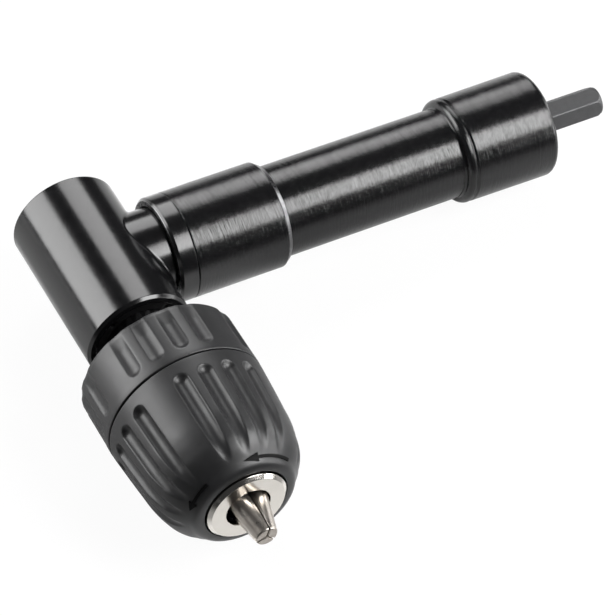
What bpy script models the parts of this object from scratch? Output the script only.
"""Right angle drill adapter with a keyless three-jaw chuck.

The origin is the middle of the head's closed end, on the chuck's axis. The handle and its driving
shaft run along +X and end in a hexagonal shank. The output spindle and the chuck run along -Y.
Most pieces are turned, so they are modelled along a local Z axis and stood on one of two empties
at the crossing of the shafts: input_axis, whose Z is the world +X, and spindle_axis, whose Z is
the world -Y. A distance along either axis is counted from that crossing.
"""

import math

import bmesh
import bpy
from mathutils import Matrix, Vector

MM = 0.001

# Clearances between mating pieces
FIT = 0.25 * MM             # round the outside of a seated or running piece
FACE = 0.3 * MM             # between faces that meet
SEAM = 0.35 * MM            # dark joint line between two outer pieces

# Facets round a turn
VISIBLE_STEPS = 40
INNER_STEPS = 28
HIDDEN_STEPS = 20
JAW_HOLE_STEPS = 16
SMALL_HOLE_STEPS = 10
ROUND_STEPS = 3             # along a rounded edge
FOOT_STEPS = 2
NECK_FLARE_STEPS = 4

# Head
HEAD_PROUD = 0.05 * MM      # the can's radius over the handle's
HEAD_TOP = 21.3 * MM        # crossing to the closed end
HEAD_BOTTOM = 24.7 * MM     # crossing to the open end
HEAD_EDGE = 0.45 * MM
HEAD_RIM = 0.9 * MM         # rounding of the open end
HEAD_TOP_WALL = 2.2 * MM
CAVITY_OVERSIZE = 1.2 * MM   # the gear cavity's radius over the neck's bore
GEAR_CAVITY_TOP = 10.6 * MM

# Neck of the head, and the ring that locks the handle on it
NECK_WALL = 1.8 * MM
NECK_LENGTH = 32.0 * MM     # crossing to the end of the spigot
NECK_FILLET = 1.5 * MM
NECK_FLARE_SWEEP = math.radians(72.0)
NECK_ROOT_SHRINK = 0.94     # of the neck shape where it ends inside the can
COLLAR_START = 17.0 * MM
COLLAR_LENGTH = 5.1 * MM
COLLAR_CHAMFER = 0.7 * MM

# Handle
COLLAR_WALL = 2.15 * MM      # of the collar and the front grip round the neck
FRONT_GRIP_END = 49.0 * MM
FRONT_GRIP_ROUND = 2.0 * MM
TUBE_RADIUS = 12.55 * MM
TUBE_FOOT_FILLET = 0.7 * MM
TUBE_FOOT_START = 1.25 * math.pi    # the foot's fillet meets the round edge at this angle
REAR_SHOULDER = 102.5 * MM
REAR_SHOULDER_RISE = 2.7 * MM
HANDLE_END = 131.0 * MM
HANDLE_END_FLARE = 0.2 * MM  # the rear face's radius over the grip's
HANDLE_END_ROUND = 1.6 * MM
HANDLE_BORE = 9.0 * MM
END_RECESS = 0.4 * MM
BEARING_INSET = 10.8 * MM   # handle's rear face to the far side of the shaft bearing

# Ball bearings: bore radius, outer radius, width, ball radius and number of balls
SPINDLE_BEARING = (6.0 * MM, 12.0 * MM, 6.0 * MM, 1.6 * MM, 10)
SHAFT_BEARING = (5.0 * MM, 11.0 * MM, 6.0 * MM, 1.55 * MM, 9)
RACE_SHARE = 0.29           # of the radial space that each race fills
CAGE_WIDTH = 1.1            # of a ball's radius
CAGE_THICKNESS = 0.7
SEAT_LEDGE = 15.0 * MM      # crossing to the ledge under the spindle bearing

# Driving shaft
SHAFT_TIP = 5.7 * MM
GEAR_SEAT_RADIUS = 4.0 * MM
SHAFT_BODY_RADIUS = 6.2 * MM
HEX_ACROSS_FLATS = 8.0 * MM
HEX_CORNER_RADIUS = 4.42 * MM   # the corners are turned down to this
HEX_END = 151.4 * MM
HEX_CHAMFER = 0.8 * MM
HEX_TURN = math.radians(46.0)
SHANK_NECK = 0.5 * MM

# Bevel gears, a pair of equal wheels
GEAR_TEETH = 16
GEAR_MODULE = 1.1 * MM
GEAR_FACE = 4.0 * MM
GEAR_BACKLASH = 0.22 * MM
PRESSURE_ANGLE = math.radians(20.0)
GEAR_ADDENDUM = 0.95        # of the module
GEAR_DEDENDUM = 1.25
GEAR_HUB_RADIUS = 7.0 * MM
GEAR_BACK = 14.6 * MM       # crossing to the back of the hub
GEAR_PIN_RADIUS = 1.2 * MM
GEAR_PIN_PLACE = 12.5 * MM

# Washers, rings and covers
WASHER_THICKNESS = 1.1 * MM
WASHER_RADIUS = 8.5 * MM
CIRCLIP_THICKNESS = 1.1 * MM
CIRCLIP_DEPTH = 0.8 * MM
CIRCLIP_GAP = math.radians(40.0)
CIRCLIP_REACH = 1.6         # how far it stands out of its groove, of the groove's depth
COVER_THICKNESS = 2.1 * MM
RETAINER_THICKNESS = 2.2 * MM
RETAINER_BORE = 9.5 * MM
SPANNER_HOLES = 4
SPANNER_HOLE = 0.8 * MM
SPANNER_DEPTH = 1.4 * MM
BUSH_RADIUS = 6.5 * MM
BUSH_LENGTH = 7.6 * MM

# Output spindle
SPINDLE_COLLAR_RADIUS = 8.9 * MM
SPINDLE_COLLAR_END = 27.6 * MM
SPANNER_FLATS = 15.0 * MM
SPINDLE_THREAD_RADIUS = 4.7 * MM
SPINDLE_THREAD_LENGTH = 13.6 * MM
CHUCK_SCREW_RADIUS = 2.4 * MM
CHUCK_SCREW_HEAD = 4.3 * MM
CHUCK_SCREW_HEAD_HEIGHT = 3.0 * MM
CHUCK_SCREW_LENGTH = 13.5 * MM
SCREW_SOCKET = 3.0 * MM      # across flats
SOCKET_FLOOR = 1.0 * MM

# Chuck outside
CHUCK_REAR = 35.0 * MM      # rear rim of the rear sleeve
CHUCK_SPLIT = 51.8 * MM     # joint between the two sleeves
CHUCK_RADIUS = 21.85 * MM
REAR_TAPER = 0.1 * MM      # the rear rim is this much smaller
REAR_RIM_CHAMFER = 0.6 * MM
REAR_SLEEVE_WALL = 3.5 * MM
FRONT_SLEEVE_WALL = 3.55 * MM
CAVITY_WALL = 4.65 * MM     # of the front sleeve ahead of the nut
CAVITY_TAPER = 7.0 * MM     # length of the cavity's cone behind the nose plate
# The ogive of the front sleeve: share of its length, and drop below the chuck's radius
OGIVE = (
    (0.0, 0.05 * MM),
    (0.42, 1.05 * MM),
    (0.6, 1.6 * MM),
    (0.708, 2.4 * MM),
    (0.788, 3.3 * MM),
    (0.849, 4.5 * MM),
    (0.929, 6.8 * MM),
)
LIP_SETBACK = 1.3 * MM      # nose plate's face to the sleeve's front edge
LIP_WALL = 1.1 * MM        # the edge's radius over the nose plate's
LIP_ROUND = 0.9 * MM
FLUTE_GROUPS = 4
FLUTES_PER_GROUP = 4
FLUTE_WIDTH = 3.7 * MM
FLUTE_DEPTH = 1.2 * MM
FLUTE_ROUND = 0.06          # share of a front flute's length that its round end takes
FLUTE_FADE_START = 0.5     # share of its length from which it grows shallower
FLUTE_FADE_POWER = 1.8
FLUTE_FLOOR = 0.85          # depth beside a flute's middle, of the full depth
FLUTE_STATIONS = (0.5 * MM, 1.6 * MM, 6.6 * MM)     # beyond a flute's start
FRONT_FLUTE_START = 3.7 * MM    # beyond the joint
FRONT_FLUTE_END = 2.6 * MM      # last of a flute to the sleeve's front edge
REAR_FLUTE_END = 2.8 * MM       # a rear flute's round end to the joint
FRONT_PANEL_TURN = math.radians(121.9)
REAR_PANEL_TURN = math.radians(144.4)

# Chuck inside
BIT_BORE = 5.3 * MM
CHUCK_BOSS_RADIUS = 10.8 * MM
CHUCK_FLANGE_BACK = 37.2 * MM
BODY_SETBACK = 8.65 * MM    # the chuck's radius over its body's front part
GROOVE_DEPTH = 2.8 * MM     # of the nut's groove in the chuck's body
CHUCK_SPIGOT_RADIUS = 8.3 * MM
CHUCK_WEB = 1.9 * MM
CHUCK_NOSE_SLOPE = 1.5      # length of the nose's cone over its drop
THRUST_BALL_RADIUS = 1.1 * MM
THRUST_BALLS = 12
THRUST_INSET = 0.6 * MM     # joint between the sleeves to the thrust bearing's seat
RACE_THICKNESS = 0.9 * MM
NUT_LENGTH = 6.6 * MM
NUT_WALL = 2.901 * MM
BAND_WALL = 0.9 * MM
BAND_LIP = 1.0 * MM

# Nose plate
NOSE_FACE = 85.8 * MM
NOSE_RADIUS = 10.95 * MM
NOSE_CHAMFER = 0.9 * MM
NOSE_HOLE = 6.1 * MM
NOSE_SKIRT = 3.6 * MM
NOSE_WALL = 1.2 * MM

# Jaws
JAW_RADIUS = 2.85 * MM
JAW_STAND_OUT = 9.9 * MM    # nose plate's face to a closed jaw's tip
JAW_CROSSING_SETBACK = 0.2 * MM     # tip to where a closed jaw's own axis meets the chuck's
JAW_BACK = 62.5 * MM        # rear end of a closed jaw
JAW_GAP = 0.2 * MM          # half of the slit between two closed jaws
JAW_FIT = 0.2 * MM
JAW_END_CHAMFER = 0.5 * MM
JAW_TURN = math.radians(137.0)
JAW_COUNT = 3
LARGEST_BIT = 10.0 * MM

# Finishes: colour, roughness, metallic
BLACK_PAINT = ((0.012, 0.012, 0.013), 0.18, 0.0)
SLEEVE_PLASTIC = ((0.035, 0.035, 0.036), 0.5, 0.0)
NICKEL = ((0.72, 0.69, 0.66), 0.18, 1.0)
GROUND_STEEL = ((0.55, 0.55, 0.56), 0.3, 1.0)
DARK_STEEL = ((0.12, 0.12, 0.125), 0.42, 0.85)
BRONZE = ((0.45, 0.3, 0.15), 0.45, 1.0)
BEARING_STEEL = ((0.62, 0.63, 0.65), 0.2, 1.0)
SEAL_RUBBER = ((0.02, 0.02, 0.02), 0.7, 0.0)


def clear_scene():
    """Start from an empty scene."""
    for thing in list(bpy.data.objects):
        bpy.data.objects.remove(thing, do_unlink=True)


def finish_material(name, finish):
    """One Principled material for one sub-part."""
    colour, roughness, metallic = finish
    material = bpy.data.materials.new(name + "_finish")
    material.use_nodes = True
    shader = material.node_tree.nodes["Principled BSDF"]
    shader.inputs["Base Color"].default_value = (*colour, 1.0)
    shader.inputs["Roughness"].default_value = roughness
    shader.inputs["Metallic"].default_value = metallic
    return material


def add_object(name, bm, finish, parent):
    """Turn a bmesh into a named, smooth-shaded object that stands on its parent."""
    bmesh.ops.recalc_face_normals(bm, faces=bm.faces)
    mesh = bpy.data.meshes.new(name)
    bm.to_mesh(mesh)
    bm.free()
    mesh.shade_smooth()
    mesh.set_sharp_from_angle(angle=math.radians(35.0))
    thing = bpy.data.objects.new(name, mesh)
    bpy.context.scene.collection.objects.link(thing)
    mesh.materials.append(finish_material(name, finish))
    thing.parent = parent
    return thing


def add_cutter(name, bm, parent):
    """A guide shape that only booleans read."""
    bmesh.ops.recalc_face_normals(bm, faces=bm.faces)
    mesh = bpy.data.meshes.new(name)
    bm.to_mesh(mesh)
    bm.free()
    thing = bpy.data.objects.new(name, mesh)
    bpy.context.scene.collection.objects.link(thing)
    thing.parent = parent
    thing.hide_render = True
    thing.display_type = "WIRE"
    return thing


def add_axis(name, turn, parent=None, place=(0.0, 0.0, 0.0)):
    """An empty whose local Z is an axis of the assembly."""
    empty = bpy.data.objects.new(name, None)
    empty.empty_display_size = 0.01
    bpy.context.scene.collection.objects.link(empty)
    empty.rotation_euler = turn
    empty.location = place
    empty.parent = parent
    return empty


def boolean(thing, tool, operation):
    """Add an exact boolean with another object."""
    modifier = thing.modifiers.new(operation.title() + "_" + tool.name, "BOOLEAN")
    modifier.operation = operation
    modifier.object = tool
    modifier.solver = "EXACT"


def turned(outline, steps):
    """Turn an outline of (place, radius) points about Z.

    An outline that starts and ends on the axis makes a bar, and any other is closed into a ring.
    """
    bm = bmesh.new()
    verts = [bm.verts.new((radius, 0.0, place)) for place, radius in outline]
    edges = [bm.edges.new(pair) for pair in zip(verts, verts[1:])]
    if outline[0][1] > 0.0:
        edges.append(bm.edges.new((verts[-1], verts[0])))
    bmesh.ops.spin(
        bm, geom=verts + edges, cent=(0, 0, 0), axis=(0, 0, 1), dvec=(0, 0, 0),
        angle=math.tau, steps=steps, use_merge=False, use_duplicate=False,
    )
    bmesh.ops.remove_doubles(bm, verts=bm.verts, dist=1e-6)
    return bm


def ring(start, end, inner, outer):
    """The outline of a plain ring."""
    return [(start, inner), (start, outer), (end, outer), (end, inner)]


def bar(start, end, radius, chamfer=0.0):
    """The outline of a plain bar with chamfered ends."""
    if chamfer == 0.0:
        return [(start, 0.0), (start, radius), (end, radius), (end, 0.0)]
    return [
        (start, 0.0), (start, radius - chamfer), (start + chamfer, radius),
        (end - chamfer, radius), (end, radius - chamfer), (end, 0.0),
    ]


def arc(centre, radius, start, end, steps):
    """Points of a round stretch of an outline, angles counted from the place axis."""
    place, height = centre
    points = []
    for index in range(steps + 1):
        angle = start + (end - start) * index / steps
        points.append((place + radius * math.cos(angle), height + radius * math.sin(angle)))
    return points


def prism(corners, start, end):
    """A straight bar of any section, between two places on Z."""
    bm = bmesh.new()
    face = bm.faces.new([bm.verts.new((x, y, start)) for x, y in corners])
    extruded = bmesh.ops.extrude_face_region(bm, geom=[face])
    tops = [item for item in extruded["geom"] if isinstance(item, bmesh.types.BMVert)]
    bmesh.ops.translate(bm, verts=tops, vec=(0, 0, end - start))
    return bm


def rounds(places, radius, depth):
    """Several short round bars on Z, each starting at its own place."""
    bm = bmesh.new()
    for x, y, z in places:
        bmesh.ops.create_cone(
            bm, cap_ends=True, segments=SMALL_HOLE_STEPS, radius1=radius, radius2=radius, depth=depth,
            matrix=Matrix.Translation((x, y, z + depth / 2)),
        )
    return bm


def on_circle(radius, count, place, turn=0.0):
    """Places spread evenly round a circle."""
    angles = [turn + math.tau * index / count for index in range(count)]
    return [(radius * math.cos(angle), radius * math.sin(angle), place) for angle in angles]


def make_head(spindle_axis, input_axis):
    """The head: an upright can with a neck, bored for the spindle, the gears and the shaft."""
    can = [
        (-HEAD_TOP, 0.0), (-HEAD_TOP, HEAD_RADIUS - HEAD_EDGE), (-HEAD_TOP + HEAD_EDGE, HEAD_RADIUS),
    ]
    rim = HEAD_BOTTOM - HEAD_RIM, HEAD_RADIUS - HEAD_RIM
    can += arc(rim, HEAD_RIM, math.pi / 2, 0.0, ROUND_STEPS)
    can.append((HEAD_BOTTOM, 0.0))
    head = add_object("head_housing", turned(can, VISIBLE_STEPS), BLACK_PAINT, spindle_axis)
    neck = add_cutter("neck_shape", neck_with_fillet(), input_axis)
    boolean(head, neck, "UNION")
    seat_radius = SPINDLE_BEARING[1] + FIT
    bore = [
        (-HEAD_TOP + HEAD_TOP_WALL, 0.0),
        (-HEAD_TOP + HEAD_TOP_WALL, BUSH_RADIUS + FIT),
        (-GEAR_CAVITY_TOP, BUSH_RADIUS + FIT),
        (-GEAR_CAVITY_TOP, GEAR_CAVITY_RADIUS),
        (SEAT_LEDGE, GEAR_CAVITY_RADIUS),
        (SEAT_LEDGE, seat_radius),
        (HEAD_BOTTOM + HEAD_EDGE, seat_radius),
        (HEAD_BOTTOM + HEAD_EDGE, 0.0),
    ]
    boolean(head, add_cutter("spindle_bore", turned(bore, INNER_STEPS), spindle_axis), "DIFFERENCE")
    neck_bore = bar(0.0, NECK_LENGTH + FACE, NECK_BORE)
    boolean(head, add_cutter("neck_bore", turned(neck_bore, HIDDEN_STEPS), input_axis), "DIFFERENCE")
    return head


def neck_with_fillet():
    """The neck as a bar along Z that flares into the can.

    A ball of the fillet's radius that rolls in the corner touches the can and the neck. Its
    centre lies one fillet radius outside both, so each point of the flare follows from the angle
    round the neck.
    """
    steps = VISIBLE_STEPS
    shrink = NECK_ROOT_SHRINK
    centre_radius = NECK_RADIUS + NECK_FILLET
    rings = []
    for index in range(NECK_FLARE_STEPS + 1):
        share = NECK_FLARE_SWEEP * (1.0 - index / NECK_FLARE_STEPS)
        rings.append([fillet_point(math.tau * k / steps, centre_radius, share) for k in range(steps)])
    first = [Vector((p.x * shrink, p.y * shrink, p.z - NECK_FILLET)) for p in rings[0]]
    last = on_circle(NECK_RADIUS, steps, NECK_LENGTH)
    bm = bmesh.new()
    loops = [[bm.verts.new(point) for point in points] for points in [first] + rings + [last]]
    for lower, upper in zip(loops, loops[1:]):
        for k in range(steps):
            after = (k + 1) % steps
            bm.faces.new((lower[k], lower[after], upper[after], upper[k]))
    for loop in (loops[0], loops[-1]):
        centre = sum((vert.co for vert in loop), Vector()) / steps
        hub = bm.verts.new((0.0, 0.0, centre.z))
        for k in range(steps):
            bm.faces.new((loop[k], loop[(k + 1) % steps], hub))
    return bm


def fillet_point(angle, centre_radius, share):
    """A point of the flare at an angle round the neck, share radians off the neck's tangent."""
    across = centre_radius * math.cos(angle)
    along = centre_radius * math.sin(angle)
    depth = math.sqrt((HEAD_RADIUS + NECK_FILLET) ** 2 - across ** 2)
    centre = Vector((across, along, depth))
    to_neck = Vector((-math.cos(angle), -math.sin(angle), 0.0))
    to_can = Vector((-across, 0.0, -depth)).normalized()
    corner = to_neck.angle(to_can)
    share = min(share, corner)
    side = (to_can - to_neck * to_neck.dot(to_can)).normalized()
    return centre + (to_neck * math.cos(share) + side * math.sin(share)) * NECK_FILLET


def make_collar(input_axis):
    """The ring on the neck that locks the handle."""
    end = COLLAR_START + COLLAR_LENGTH
    inner = NECK_RADIUS + FIT
    edge = COLLAR_CHAMFER / 3
    outline = [
        (COLLAR_START, inner), (COLLAR_START, SLEEVE_RADIUS - COLLAR_CHAMFER),
        (COLLAR_START + COLLAR_CHAMFER, SLEEVE_RADIUS), (end - edge, SLEEVE_RADIUS),
        (end, SLEEVE_RADIUS - edge), (end, inner),
    ]
    return add_object("lock_collar", turned(outline, VISIBLE_STEPS), BLACK_PAINT, input_axis)


def make_handle(input_axis):
    """The handle: front grip, tube and rear grip in one turned piece, bored for the shaft."""
    start = COLLAR_START + COLLAR_LENGTH + SEAM
    quarter = math.pi / 2
    edge = COLLAR_CHAMFER / 3
    bore_step = NECK_LENGTH + FACE
    seat_radius = SHAFT_BEARING[1] + FIT
    groove = BEARING_END + FACE
    outline = [(start, NECK_RADIUS + FIT), (start, SLEEVE_RADIUS - edge), (start + edge, SLEEVE_RADIUS)]
    outline += arc(
        (FRONT_GRIP_END - FRONT_GRIP_ROUND, SLEEVE_RADIUS - FRONT_GRIP_ROUND), FRONT_GRIP_ROUND,
        quarter, 0.0, ROUND_STEPS,
    )
    outline += arc(
        (FRONT_GRIP_END + TUBE_FOOT_FILLET, TUBE_RADIUS + TUBE_FOOT_FILLET), TUBE_FOOT_FILLET,
        TUBE_FOOT_START, 1.5 * math.pi, FOOT_STEPS,
    )
    rise = SLEEVE_RADIUS - TUBE_RADIUS
    outline += [(REAR_SHOULDER - TUBE_FOOT_FILLET, TUBE_RADIUS)]
    for index in range(ROUND_STEPS + 1):
        angle = quarter * index / ROUND_STEPS
        outline.append((
            REAR_SHOULDER + REAR_SHOULDER_RISE * (1.0 - math.cos(angle)),
            TUBE_RADIUS + TUBE_FOOT_FILLET / 2 + (rise - TUBE_FOOT_FILLET / 2) * math.sin(angle),
        ))
    outline += arc(
        (HANDLE_END - HANDLE_END_ROUND, HANDLE_END_RADIUS - HANDLE_END_ROUND), HANDLE_END_ROUND,
        quarter, 0.0, ROUND_STEPS,
    )
    outline += [
        (HANDLE_END, seat_radius),
        (groove + CIRCLIP_THICKNESS + FACE, seat_radius),
        (groove + CIRCLIP_THICKNESS + FACE, seat_radius + CIRCLIP_DEPTH),
        (groove - FACE / 2, seat_radius + CIRCLIP_DEPTH),
        (groove - FACE / 2, seat_radius),
        (BEARING_START - FACE, seat_radius),
        (BEARING_START - FACE, HANDLE_BORE),
        (bore_step, HANDLE_BORE),
        (bore_step, NECK_RADIUS + FIT),
    ]
    return add_object("handle_body", turned(outline, VISIBLE_STEPS), BLACK_PAINT, input_axis)


def make_bearing(prefix, sizes, start, parent):
    """A ball bearing: two races with round grooves, and a cage with its balls."""
    bore, outer, width, ball, count = sizes
    middle = start + width / 2
    pitch = (bore + outer) / 2
    wall = (outer - bore) * RACE_SHARE
    groove = ball + FIT
    races = []
    for name, rim, land in (("_outer_race", outer, outer - wall), ("_inner_race", bore, bore + wall)):
        reach = math.asin(min(1.0, abs(land - pitch) / groove))
        first = math.pi - reach
        last = reach
        if name == "_inner_race":
            first = math.pi + reach
            last = math.tau - reach
        outline = [(start, rim), (start, land)]
        outline += arc((middle, pitch), groove, first, last, ROUND_STEPS)
        outline += [(start + width, land), (start + width, rim)]
        races.append(add_object(prefix + name, turned(outline, HIDDEN_STEPS), BEARING_STEEL, parent))
    half_width = ball * CAGE_WIDTH / 2
    half_wall = ball * CAGE_THICKNESS / 2
    cage = ring(middle - half_width, middle + half_width, pitch - half_wall, pitch + half_wall)
    ball_set = make_balls(prefix + "_ball_cage", cage, on_circle(pitch, count, middle), ball, parent)
    return races + [ball_set]


def make_balls(name, cage, places, radius, parent):
    """A cage ring with its balls, as one piece."""
    thing = add_object(name, turned(cage, HIDDEN_STEPS), BEARING_STEEL, parent)
    bm = bmesh.new()
    for place in places:
        bmesh.ops.create_icosphere(bm, subdivisions=1, radius=radius, matrix=Matrix.Translation(place))
    boolean(thing, add_cutter(name + "_balls", bm, parent), "UNION")
    return thing


def gear_profile():
    """Half a tooth of the equal spur gear on the back cone, root to tip: (distance, half angle)."""
    pitch = GEAR_PITCH_RADIUS / math.cos(GEAR_CONE)
    base = pitch * math.cos(PRESSURE_ANGLE)
    root = pitch - GEAR_DEDENDUM * GEAR_MODULE
    tip = pitch + GEAR_ADDENDUM * GEAR_MODULE
    half = math.pi / (2 * GEAR_TEETH / math.cos(GEAR_CONE)) - GEAR_BACKLASH / (2 * pitch)

    def half_angle(distance):
        pressure = math.acos(min(1.0, base / distance))
        return half + involute(PRESSURE_ANGLE) - involute(pressure)

    distances = [base + (tip - base) * share for share in (0.0, 0.4, 0.75, 1.0)]
    points = [(distance, half_angle(distance)) for distance in distances]
    return [(root, half_angle(base) + GEAR_BACKLASH / (3 * pitch))] + points


def involute(angle):
    """The involute function."""
    return math.tan(angle) - angle


def make_gear(name, phase, parent):
    """A straight bevel gear whose teeth all run to the crossing of the shafts."""
    profile = gear_profile()
    spread = 1.0 / math.cos(GEAR_CONE)
    back_apex = GEAR_PITCH_RADIUS / (math.sin(GEAR_CONE) * math.cos(GEAR_CONE))
    toe = 1.0 - GEAR_FACE / GEAR_CONE_DISTANCE
    heel_points = []
    for tooth in range(GEAR_TEETH):
        middle = phase + math.tau * tooth / GEAR_TEETH
        sides = [(distance, middle - angle * spread) for distance, angle in profile]
        sides += [(distance, middle + angle * spread) for distance, angle in reversed(profile)]
        for distance, turn in sides:
            radius = distance * math.cos(GEAR_CONE)
            heel_points.append(Vector((
                radius * math.cos(turn), radius * math.sin(turn),
                back_apex - distance * math.sin(GEAR_CONE),
            )))
    root_radius = profile[0][0] * math.cos(GEAR_CONE)
    root_place = back_apex - profile[0][0] * math.sin(GEAR_CONE)
    bore = GEAR_SEAT_RADIUS + FIT
    front = root_place * toe - FACE
    bm = bmesh.new()
    heel = [bm.verts.new(point) for point in heel_points]
    toes = [bm.verts.new(point * toe) for point in heel_points]
    turn_circles = [
        (GEAR_HUB_RADIUS, root_place + root_radius - GEAR_HUB_RADIUS),
        (GEAR_HUB_RADIUS, GEAR_BACK), (bore, GEAR_BACK), (bore, front), (bore + FIT, front),
    ]
    chain = [toes, heel]
    for radius, place in turn_circles:
        chain.append([bm.verts.new(point) for point in on_circle(radius, 2 * GEAR_TEETH, place, phase)])
    for lower, upper in zip(chain, chain[1:] + chain[:1]):
        stitch(bm, lower, upper)
    gear = add_object(name, bm, GROUND_STEEL, parent)
    hole = rounds([(0, 0, -2 * GEAR_HUB_RADIUS)], GEAR_PIN_RADIUS + FIT, 4 * GEAR_HUB_RADIUS)
    bmesh.ops.rotate(hole, verts=hole.verts, cent=(0, 0, 0), matrix=Matrix.Rotation(math.pi / 2, 3, "X"))
    bmesh.ops.translate(hole, verts=hole.verts, vec=(0, 0, GEAR_PIN_PLACE))
    cutter = add_cutter(name + "_pin_hole", hole, parent)
    boolean(gear, cutter, "DIFFERENCE")
    pin = rounds([(0, 0, -GEAR_HUB_RADIUS)], GEAR_PIN_RADIUS, 2 * GEAR_HUB_RADIUS)
    bmesh.ops.rotate(pin, verts=pin.verts, cent=(0, 0, 0), matrix=Matrix.Rotation(math.pi / 2, 3, "X"))
    bmesh.ops.translate(pin, verts=pin.verts, vec=(0, 0, GEAR_PIN_PLACE))
    add_object(name + "_pin", pin, GROUND_STEEL, parent)
    return cutter


def stitch(bm, lower, upper):
    """Join two rings of vertices round Z with triangles, always stepping to the nearer angle."""
    start = math.atan2(lower[0].co.y, lower[0].co.x)

    def turns(loop):
        found = []
        for vert in loop:
            angle = math.atan2(vert.co.y, vert.co.x) - start
            previous = found[-1] if found else 0.0
            found.append(previous + math.remainder(angle - previous, math.tau))
        return found + [found[0] + math.tau]

    low_turns, high_turns = turns(lower), turns(upper)
    low, high = 0, 0
    while low < len(lower) or high < len(upper):
        corner_low, corner_high = lower[low % len(lower)], upper[high % len(upper)]
        take_low = high == len(upper) or (
            low < len(lower) and low_turns[low + 1] + low_turns[low]
            <= high_turns[high + 1] + high_turns[high]
        )
        if take_low:
            low += 1
            bm.faces.new((corner_low, lower[low % len(lower)], corner_high))
        else:
            high += 1
            bm.faces.new((corner_low, upper[high % len(upper)], corner_high))


def make_shaft(pin_hole, parent):
    """The driving shaft with its gear seat, journals and hexagonal shank."""
    journal = SHAFT_BEARING[0]
    shoulder = NECK_LENGTH + FACE + WASHER_THICKNESS + FACE
    shank_start = HANDLE_END - END_RECESS
    clip = BEARING_END + FACE
    outline = [
        (SHAFT_TIP, 0.0), (SHAFT_TIP, GEAR_SEAT_RADIUS - SHANK_NECK),
        (SHAFT_TIP + SHANK_NECK, GEAR_SEAT_RADIUS), (GEAR_BACK + FACE, GEAR_SEAT_RADIUS),
        (GEAR_BACK + FACE, journal - FIT), (shoulder, journal - FIT), (shoulder, SHAFT_BODY_RADIUS),
        (BEARING_START - FACE, SHAFT_BODY_RADIUS), (BEARING_START - FACE, journal - FIT),
        (clip - FACE / 2, journal - FIT), (clip - FACE / 2, journal - CIRCLIP_DEPTH),
        (clip + CIRCLIP_THICKNESS + FACE / 2, journal - CIRCLIP_DEPTH),
        (clip + CIRCLIP_THICKNESS + FACE / 2, journal - FIT), (shank_start, journal - FIT),
        (shank_start, 0.0),
    ]
    shaft = add_object("input_shaft", turned(outline, HIDDEN_STEPS), DARK_STEEL, parent)
    half_flat = math.acos(HEX_ACROSS_FLATS / 2 / HEX_CORNER_RADIUS)
    corners = []
    for flat in range(6):
        middle = HEX_TURN + math.tau * (flat + 0.5) / 6
        for angle in (middle - half_flat, middle + half_flat):
            corners.append((HEX_CORNER_RADIUS * math.cos(angle), HEX_CORNER_RADIUS * math.sin(angle)))
    shank = prism(corners, shank_start - GEAR_MODULE, HEX_END)
    rim = [
        edge for edge in shank.edges
        if all(abs(vert.co.z - HEX_END) < 1e-7 for vert in edge.verts)
    ]
    bmesh.ops.bevel(shank, geom=rim, offset=HEX_CHAMFER, segments=2, affect="EDGES", profile=0.5)
    boolean(shaft, add_cutter("shank_shape", shank, parent), "UNION")
    boolean(shaft, pin_hole, "DIFFERENCE")
    return shaft


def make_spindle(pin_hole, parent):
    """The output spindle: upper journal, gear seat, bearing seat, collar and threaded nose."""
    seat = SPINDLE_BEARING[0] - FIT
    collar_start = SEAT_LEDGE + FACE + SPINDLE_BEARING[2] + FACE
    nose_end = SPINDLE_COLLAR_END + SPINDLE_THREAD_LENGTH
    screw_hole = SCREW_HEAD_PLACE - CHUCK_SCREW_LENGTH - FACE
    outline = [
        (-SPINDLE_TOP, 0.0), (-SPINDLE_TOP, GEAR_SEAT_RADIUS - SHANK_NECK),
        (-SPINDLE_TOP + SHANK_NECK, GEAR_SEAT_RADIUS), (GEAR_BACK + FACE, GEAR_SEAT_RADIUS),
        (GEAR_BACK + FACE, seat), (collar_start, seat), (collar_start, SPINDLE_COLLAR_RADIUS),
        (SPINDLE_COLLAR_END, SPINDLE_COLLAR_RADIUS), (SPINDLE_COLLAR_END, SPINDLE_THREAD_RADIUS),
        (nose_end - SHANK_NECK, SPINDLE_THREAD_RADIUS), (nose_end, SPINDLE_THREAD_RADIUS - SHANK_NECK),
        (nose_end, CHUCK_SCREW_RADIUS + FIT), (screw_hole, CHUCK_SCREW_RADIUS + FIT), (screw_hole, 0.0),
    ]
    spindle = add_object("output_spindle", turned(outline, HIDDEN_STEPS), GROUND_STEEL, parent)
    reach = 2 * SPINDLE_COLLAR_RADIUS
    middle = HEAD_BOTTOM + FACE + reach / 2
    flats = bmesh.new()
    for side in (-1.0, 1.0):
        place = Matrix.Translation((side * (SPANNER_FLATS + reach) / 2, 0.0, middle))
        bmesh.ops.create_cube(flats, size=reach, matrix=place)
    boolean(spindle, add_cutter("spanner_flats", flats, parent), "DIFFERENCE")
    boolean(spindle, pin_hole, "DIFFERENCE")
    return spindle


def make_circlip(name, start, inner, outer, parent):
    """A retaining ring with its gap."""
    bm = bmesh.new()
    sweep = math.tau - CIRCLIP_GAP
    section = ring(start, start + CIRCLIP_THICKNESS, inner, outer)
    face = bm.faces.new([bm.verts.new((radius, 0.0, place)) for place, radius in section])
    bmesh.ops.spin(
        bm, geom=[face], cent=(0, 0, 0), axis=(0, 0, 1), dvec=(0, 0, 0), angle=sweep,
        steps=HIDDEN_STEPS, use_merge=False, use_duplicate=False,
    )
    return add_object(name, bm, DARK_STEEL, parent)


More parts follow.
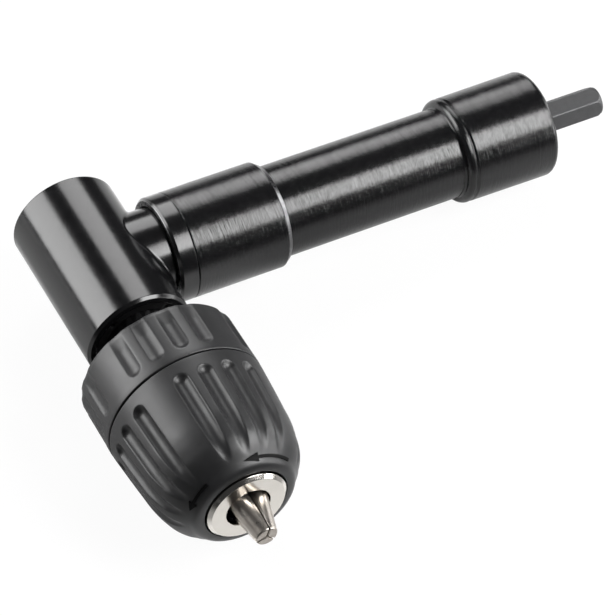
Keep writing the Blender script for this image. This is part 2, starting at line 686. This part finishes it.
def make_rings(input_axis, spindle_axis):
    """Bushes, washers, clips, the bearing retainer and the dust cover."""
    journal = SHAFT_BEARING[0]
    washer = GEAR_BACK + FACE
    bush = washer + WASHER_THICKNESS + FACE
    parts = (
        ("pinion_thrust_washer", washer, washer + WASHER_THICKNESS, journal, WASHER_RADIUS, BRONZE),
        ("shaft_front_bush", bush, NECK_LENGTH, journal, NECK_BORE - FIT, BRONZE),
        ("shaft_thrust_washer", NECK_LENGTH + FACE, NECK_LENGTH + FACE + WASHER_THICKNESS, journal,
         WASHER_RADIUS, BRONZE),
    )
    for name, start, end, inner, outer, finish in parts:
        add_object(name, turned(ring(start, end, inner, outer), HIDDEN_STEPS), finish, input_axis)
    bush_end = -GEAR_CAVITY_TOP
    upper = ring(bush_end - BUSH_LENGTH, bush_end, GEAR_SEAT_RADIUS + FIT, BUSH_RADIUS)
    add_object("spindle_upper_bush", turned(upper, HIDDEN_STEPS), BRONZE, spindle_axis)
    clip = BEARING_END + FACE
    bore = SHAFT_BEARING[1] + FIT
    reach = CIRCLIP_REACH * CIRCLIP_DEPTH
    grip = CIRCLIP_DEPTH - FIT
    make_circlip("bearing_circlip", clip, bore - reach, bore + grip, input_axis)
    make_circlip("shaft_circlip", clip, journal - grip, journal + reach, input_axis)
    cover = clip + CIRCLIP_THICKNESS + FACE
    cover_end = cover + COVER_THICKNESS
    outline = [
        (cover, journal + FIT), (cover, bore - FIT), (cover_end - END_RECESS, bore - FIT),
        (cover_end, bore - FIT - END_RECESS), (cover_end, journal + 3 * FIT),
        (cover_end - END_RECESS, journal + FIT),
    ]
    add_object("rear_dust_cover", turned(outline, HIDDEN_STEPS), SEAL_RUBBER, input_axis)
    start = HEAD_BOTTOM - RETAINER_THICKNESS - END_RECESS
    edge = SPINDLE_BEARING[1]
    outline = ring(start, start + RETAINER_THICKNESS, RETAINER_BORE, edge)
    retainer = add_object("bearing_retainer", turned(outline, HIDDEN_STEPS), DARK_STEEL, spindle_axis)
    floor = start + RETAINER_THICKNESS - SPANNER_DEPTH
    holes = on_circle((RETAINER_BORE + edge) / 2, SPANNER_HOLES, floor, math.pi / SPANNER_HOLES)
    cutter = rounds(holes, SPANNER_HOLE, SPANNER_DEPTH + FACE)
    boolean(retainer, add_cutter("retainer_holes", cutter, spindle_axis), "DIFFERENCE")


def flute_shape(share):
    """How deep a flute is at a share of its length, from its round end to where it fades out."""
    start = min(1.0, share / FLUTE_ROUND)
    faded = max(0.0, (share - FLUTE_FADE_START) / (1.0 - FLUTE_FADE_START))
    fade = 1.0 - faded ** FLUTE_FADE_POWER
    return math.sqrt(max(0.0, 1.0 - (1.0 - start) ** 2)) * fade


def flute_angles(panel_turn):
    """Places round a sleeve: (angle, depth share) at each flute's two edges and along its floor."""
    slots = FLUTE_GROUPS * (FLUTES_PER_GROUP + 1)
    pitch = math.tau / slots
    half = FLUTE_WIDTH / 2 / CHUCK_RADIUS
    places = []
    for slot in range(slots):
        middle = panel_turn + slot * pitch
        if slot % (FLUTES_PER_GROUP + 1) == 0:
            places += [(middle - half, 0.0), (middle, 0.0), (middle + half, 0.0)]
            continue
        places += [
            (middle - half, 0.0), (middle - half / 2, FLUTE_FLOOR), (middle + half / 2, FLUTE_FLOOR),
            (middle + half, 0.0),
        ]
    return places


def fluted_shell(outside, inside, panel_turn, flute_start, flute_end, opened):
    """A sleeve: a turned outside with flutes let into it, and a turned inside."""
    places = flute_angles(panel_turn)
    length = flute_end - flute_start
    rings = []
    for place, radius in outside:
        share = (place - flute_start) / length
        depth = 0.0
        if 0.0 <= share <= 1.0:
            depth = FLUTE_DEPTH * flute_shape(share)
            if opened:
                depth = FLUTE_DEPTH * flute_shape(1.0 - share) ** 0.5 if share < 1.0 else 0.0
        rings.append([(radius - depth * amount, place, angle) for angle, amount in places])
    for place, radius in inside:
        rings.append([(radius, place, angle) for angle, amount in places])
    bm = bmesh.new()
    loops = []
    for points in rings:
        loops.append([
            bm.verts.new((radius * math.cos(angle), radius * math.sin(angle), place))
            for radius, place, angle in points
        ])
    count = len(places)
    for lower, upper in zip(loops, loops[1:] + loops[:1]):
        for k in range(count):
            after = (k + 1) % count
            bm.faces.new((lower[k], lower[after], upper[after], upper[k]))
    return bm


def ogive_radius(share):
    """The front sleeve's radius at a share of its length, between the named points."""
    for (low, low_drop), (high, high_drop) in zip(OGIVE, OGIVE[1:]):
        if share <= high:
            return CHUCK_RADIUS - low_drop - (high_drop - low_drop) * (share - low) / (high - low)
    return CHUCK_RADIUS - OGIVE[-1][1]


def jaw_slant(along, out):
    """The slant that brings a jaw's outer side to a radius, at a length behind its crossing."""
    return math.acos(JAW_RADIUS / math.hypot(along, out)) - math.atan2(along, out)


def jaw_outer(place):
    """How far out a closed jaw reaches at a place on the chuck's axis."""
    return (JAW_CROSSING - place) * math.tan(JAW_ANGLE) + JAW_RADIUS / math.cos(JAW_ANGLE)


def make_chuck_sleeves(spindle_axis, sleeve_axis):
    """The rear sleeve, pressed on the chuck body, and the front sleeve that turns."""
    rear_end = CHUCK_SPLIT - SEAM / 2
    inner = CHUCK_FLANGE_RADIUS + FIT
    flute_end = CHUCK_SPLIT - REAR_FLUTE_END
    slope = (CHUCK_RADIUS - CHUCK_REAR_RADIUS) / (rear_end - CHUCK_REAR)
    stations = [CHUCK_REAR + REAR_RIM_CHAMFER, flute_end - FLUTE_STATIONS[1]]
    stations += [flute_end - FLUTE_STATIONS[0], flute_end, rear_end]
    outside = [(CHUCK_REAR, CHUCK_REAR_RADIUS - REAR_RIM_CHAMFER)]
    outside += [(place, CHUCK_REAR_RADIUS + slope * (place - CHUCK_REAR)) for place in stations]
    inside = [(rear_end, inner), (CHUCK_REAR, inner)]
    shell = fluted_shell(outside, inside, REAR_PANEL_TURN, CHUCK_REAR, flute_end, True)
    add_object("chuck_rear_sleeve", shell, SLEEVE_PLASTIC, spindle_axis)
    start = CHUCK_SPLIT + SEAM / 2
    flutes = start + FRONT_FLUTE_START
    fades = CHUCK_LIP - FRONT_FLUTE_END
    length = CHUCK_LIP - start
    cuts = [flutes] + [flutes + place for place in FLUTE_STATIONS]
    cuts += [start + length * share for share, _ in OGIVE]
    stations = sorted(place for place in cuts if place < CHUCK_LIP)
    outside = [(place, ogive_radius((place - start) / length)) for place in stations]
    outside += [(CHUCK_LIP - LIP_ROUND / 2, LIP_RADIUS + LIP_ROUND), (CHUCK_LIP, LIP_RADIUS)]
    hole = NOSE_RADIUS + 2 * FIT
    skirt = NOSE_FACE - NOSE_WALL - NOSE_SKIRT
    inside = [
        (CHUCK_LIP, hole), (skirt, hole), (skirt - CAVITY_TAPER, CHUCK_RADIUS - 1.5 * CAVITY_WALL),
        (BAND_END + FACE, CHUCK_RADIUS - CAVITY_WALL),
        (BAND_END + FACE, BAND_RADIUS + FIT), (start, BAND_RADIUS + FIT),
    ]
    shell = fluted_shell(outside, inside, FRONT_PANEL_TURN, flutes, fades, False)
    add_object("chuck_front_sleeve", shell, SLEEVE_PLASTIC, sleeve_axis)


def make_chuck_body(spindle_axis, jaw_axes):
    """The steel body: boss, flange, nut groove, slanted jaw holes and nose."""
    boss_start = SPINDLE_COLLAR_END + FACE
    thread = SPINDLE_THREAD_RADIUS + FIT
    nose_end = SPINDLE_COLLAR_END + SPINDLE_THREAD_LENGTH + FACE
    bore_end = nose_end + CHUCK_WEB
    groove_end = NUT_END + FACE
    nose = NOSE_FACE - NOSE_WALL - FACE
    cone = CHUCK_NOSE_SLOPE * (CHUCK_FRONT_RADIUS - NOSE_RADIUS + NOSE_WALL)
    outline = [
        (boss_start, thread), (boss_start, CHUCK_BOSS_RADIUS), (CHUCK_FLANGE_BACK, CHUCK_BOSS_RADIUS),
        (CHUCK_FLANGE_BACK, CHUCK_FLANGE_RADIUS), (THRUST_START, CHUCK_FLANGE_RADIUS),
        (THRUST_START, CHUCK_GROOVE_RADIUS), (groove_end, CHUCK_GROOVE_RADIUS),
        (groove_end, CHUCK_FRONT_RADIUS), (nose - NOSE_SKIRT - cone, CHUCK_FRONT_RADIUS),
        (nose - NOSE_SKIRT, NOSE_RADIUS - NOSE_WALL), (nose - NOSE_SKIRT, CHUCK_SPIGOT_RADIUS),
        (nose, CHUCK_SPIGOT_RADIUS), (nose, BIT_BORE), (bore_end, BIT_BORE),
        (bore_end, CHUCK_SCREW_RADIUS + FIT), (nose_end, CHUCK_SCREW_RADIUS + FIT), (nose_end, thread),
    ]
    body = add_object("chuck_body", turned(outline, INNER_STEPS), DARK_STEEL, spindle_axis)
    travel_end = JAW_LENGTH + JAW_TRAVEL + FACE
    for index, axis in enumerate(jaw_axes):
        hole = turned(bar(-JAW_NOSE_REACH, travel_end, JAW_RADIUS + JAW_FIT), JAW_HOLE_STEPS)
        boolean(body, add_cutter("jaw_hole_%d" % (index + 1), hole, axis), "DIFFERENCE")
    return body


def make_chuck_inside(spindle_axis, sleeve_axis, thrust_axis):
    """The screw, the thrust bearing, the nut and its band."""
    head_start = SCREW_HEAD_PLACE
    outline = [
        (head_start - CHUCK_SCREW_LENGTH, 0.0), (head_start - CHUCK_SCREW_LENGTH, CHUCK_SCREW_RADIUS),
        (head_start, CHUCK_SCREW_RADIUS), (head_start, CHUCK_SCREW_HEAD),
        (head_start + CHUCK_SCREW_HEAD_HEIGHT, CHUCK_SCREW_HEAD),
        (head_start + CHUCK_SCREW_HEAD_HEIGHT, 0.0),
    ]
    screw = add_object("chuck_screw", turned(outline, JAW_HOLE_STEPS), DARK_STEEL, spindle_axis)
    socket = prism(
        [(x, y) for x, y, _ in on_circle(SCREW_SOCKET / 2 / math.cos(math.pi / 6), 6, 0.0)],
        head_start + SOCKET_FLOOR, head_start + 2 * CHUCK_SCREW_HEAD_HEIGHT,
    )
    boolean(screw, add_cutter("screw_socket", socket, spindle_axis), "DIFFERENCE")
    inner = THRUST_PITCH - THRUST_BALL_RADIUS - FIT
    outer = THRUST_PITCH + THRUST_BALL_RADIUS + FIT
    race = ring(THRUST_START + FACE, THRUST_START + FACE + RACE_THICKNESS, inner, outer)
    add_object("rear_thrust_race", turned(race, HIDDEN_STEPS), BEARING_STEEL, spindle_axis)
    middle = THRUST_MIDDLE
    cage = ring(
        middle - THRUST_BALL_RADIUS / 3, middle + THRUST_BALL_RADIUS / 3,
        THRUST_PITCH - THRUST_BALL_RADIUS - FIT, THRUST_PITCH + THRUST_BALL_RADIUS + FIT,
    )
    places = on_circle(THRUST_PITCH, THRUST_BALLS, middle)
    make_balls("thrust_ball_cage", cage, places, THRUST_BALL_RADIUS, thrust_axis)
    nut = [
        (NUT_START, NUT_RADIUS - NUT_WALL), (NUT_START, NUT_RADIUS), (NUT_END, NUT_RADIUS),
        (NUT_END, jaw_outer(NUT_END) + FIT),
    ]
    add_object("jaw_nut", turned(nut, INNER_STEPS), GROUND_STEEL, sleeve_axis)
    band_inner = NUT_RADIUS + FIT
    band = [
        (NUT_START, band_inner), (NUT_START, BAND_RADIUS), (BAND_END, BAND_RADIUS),
        (BAND_END, CHUCK_FRONT_RADIUS + FIT), (NUT_END + FACE, CHUCK_FRONT_RADIUS + FIT),
        (NUT_END + FACE, band_inner),
    ]
    add_object("nut_band", turned(band, INNER_STEPS), GROUND_STEEL, sleeve_axis)


def make_nose_plate(spindle_axis, jaw_axes):
    """The bright cap pressed on the chuck's nose."""
    start = NOSE_FACE - NOSE_WALL - NOSE_SKIRT
    outline = [
        (start, CHUCK_SPIGOT_RADIUS + FIT), (start, NOSE_RADIUS),
        (NOSE_FACE - NOSE_CHAMFER, NOSE_RADIUS), (NOSE_FACE, NOSE_RADIUS - NOSE_CHAMFER),
        (NOSE_FACE, NOSE_HOLE), (NOSE_FACE - NOSE_WALL, NOSE_HOLE),
        (NOSE_FACE - NOSE_WALL, CHUCK_SPIGOT_RADIUS + FIT),
    ]
    plate = add_object("nose_plate", turned(outline, VISIBLE_STEPS), NICKEL, spindle_axis)
    for index, axis in enumerate(jaw_axes):
        hole = turned(bar(-JAW_NOSE_REACH, JAW_LENGTH, JAW_RADIUS + JAW_FIT), JAW_HOLE_STEPS)
        boolean(plate, add_cutter("plate_lobe_%d" % (index + 1), hole, axis), "DIFFERENCE")
    return plate


def make_jaws(spindle_axis, jaw_axes):
    """Three slanted round jaws, each cut to a third of the circle where they grip."""
    for index, axis in enumerate(jaw_axes):
        name = "chuck_jaw_%d" % (index + 1)
        outline = [
            (-JAW_NOSE_REACH, 0.0), (-JAW_NOSE_REACH, JAW_RADIUS),
            (JAW_LENGTH - JAW_END_CHAMFER, JAW_RADIUS), (JAW_LENGTH, JAW_RADIUS - JAW_END_CHAMFER),
            (JAW_LENGTH, 0.0),
        ]
        jaw = add_object(name, turned(outline, HIDDEN_STEPS), NICKEL, axis)
        turn = JAW_TURN + math.tau * index / JAW_COUNT
        reach = 2 * CHUCK_RADIUS
        apex = JAW_GAP / math.sin(math.pi / JAW_COUNT)
        corners = [(apex * math.cos(turn), apex * math.sin(turn))]
        for side in (-1.0, 1.0):
            angle = turn + side * math.pi / JAW_COUNT
            corners.append((
                corners[0][0] + reach * math.cos(angle), corners[0][1] + reach * math.sin(angle),
            ))
        wedge = prism(corners, CHUCK_REAR, JAW_TIP)
        boolean(jaw, add_cutter(name + "_wedge", wedge, spindle_axis), "INTERSECT")


# Values that follow from the sizes above
GEAR_CONE = math.radians(45.0)
GEAR_PITCH_RADIUS = GEAR_MODULE * GEAR_TEETH / 2
GEAR_CONE_DISTANCE = GEAR_PITCH_RADIUS / math.sin(GEAR_CONE)
NECK_BORE = GEAR_PITCH_RADIUS + GEAR_MODULE + 2 * FIT
GEAR_CAVITY_RADIUS = NECK_BORE + CAVITY_OVERSIZE
NECK_RADIUS = NECK_BORE + NECK_WALL
SLEEVE_RADIUS = NECK_RADIUS + FIT + COLLAR_WALL
HEAD_RADIUS = SLEEVE_RADIUS + HEAD_PROUD
HANDLE_END_RADIUS = SLEEVE_RADIUS + HANDLE_END_FLARE
SPINDLE_TOP = HEAD_TOP - HEAD_TOP_WALL - 4 * FACE
SCREW_HEAD_PLACE = SPINDLE_COLLAR_END + SPINDLE_THREAD_LENGTH + FACE + CHUCK_WEB + FACE
BEARING_START = HANDLE_END - BEARING_INSET
BEARING_END = BEARING_START + SHAFT_BEARING[2]
CHUCK_REAR_RADIUS = CHUCK_RADIUS - REAR_TAPER
CHUCK_FLANGE_RADIUS = CHUCK_REAR_RADIUS - REAR_SLEEVE_WALL + FIT
CHUCK_LIP = NOSE_FACE - LIP_SETBACK
LIP_RADIUS = NOSE_RADIUS + LIP_WALL
BAND_RADIUS = CHUCK_RADIUS - FRONT_SLEEVE_WALL - FIT
THRUST_PITCH = BAND_RADIUS - THRUST_BALL_RADIUS - FIT
THRUST_START = CHUCK_SPLIT - THRUST_INSET
THRUST_MIDDLE = THRUST_START + FACE + RACE_THICKNESS + FACE + THRUST_BALL_RADIUS
NUT_START = THRUST_MIDDLE + THRUST_BALL_RADIUS + FACE
NUT_END = NUT_START + NUT_LENGTH
NUT_RADIUS = BAND_RADIUS - BAND_WALL - FIT
BAND_END = NUT_END + FACE + BAND_LIP
JAW_TIP = NOSE_FACE + JAW_STAND_OUT
JAW_CROSSING = JAW_TIP - JAW_CROSSING_SETBACK
CHUCK_FRONT_RADIUS = CHUCK_RADIUS - BODY_SETBACK
CHUCK_GROOVE_RADIUS = CHUCK_FRONT_RADIUS - GROOVE_DEPTH
JAW_ANGLE = jaw_slant(JAW_CROSSING - NUT_START, NUT_RADIUS - NUT_WALL - FIT)
JAW_LENGTH = (JAW_CROSSING - JAW_BACK) / math.cos(JAW_ANGLE)
JAW_NOSE_REACH = 3 * JAW_RADIUS
JAW_TRAVEL = LARGEST_BIT / 2 / math.sin(JAW_ANGLE)


def build():
    """Make the whole adapter."""
    clear_scene()
    housing = add_axis("housing", (0.0, 0.0, 0.0), None, (0.0, -HEAD_TOP, 0.0))
    input_axis = add_axis("input_axis", (0.0, math.pi / 2, 0.0), housing)
    spindle_axis = add_axis("spindle_axis", (math.pi / 2, 0.0, 0.0), housing)
    sleeve_axis = add_axis("sleeve_axis", (0.0, 0.0, 0.0), spindle_axis)
    thrust_axis = add_axis("thrust_axis", (0.0, 0.0, 0.0), spindle_axis)
    jaw_axes = [
        add_axis(
            "jaw_axis_%d" % (index + 1),
            (0.0, math.pi - JAW_ANGLE, JAW_TURN + math.tau * index / JAW_COUNT),
            spindle_axis, (0.0, 0.0, JAW_CROSSING),
        )
        for index in range(JAW_COUNT)
    ]
    make_head(spindle_axis, input_axis)
    make_collar(input_axis)
    make_handle(input_axis)
    make_bearing("spindle_bearing", SPINDLE_BEARING, SEAT_LEDGE + FACE, spindle_axis)
    make_bearing("shaft_bearing", SHAFT_BEARING, BEARING_START, input_axis)
    pinion_hole = make_gear("bevel_pinion", -math.pi / 2 + math.pi / GEAR_TEETH, input_axis)
    gear_hole = make_gear("bevel_gear", 0.0, spindle_axis)
    make_shaft(pinion_hole, input_axis)
    make_spindle(gear_hole, spindle_axis)
    make_rings(input_axis, spindle_axis)
    make_chuck_body(spindle_axis, jaw_axes)
    make_chuck_sleeves(spindle_axis, sleeve_axis)
    make_chuck_inside(spindle_axis, sleeve_axis, thrust_axis)
    make_nose_plate(spindle_axis, jaw_axes)
    make_jaws(spindle_axis, jaw_axes)


build()
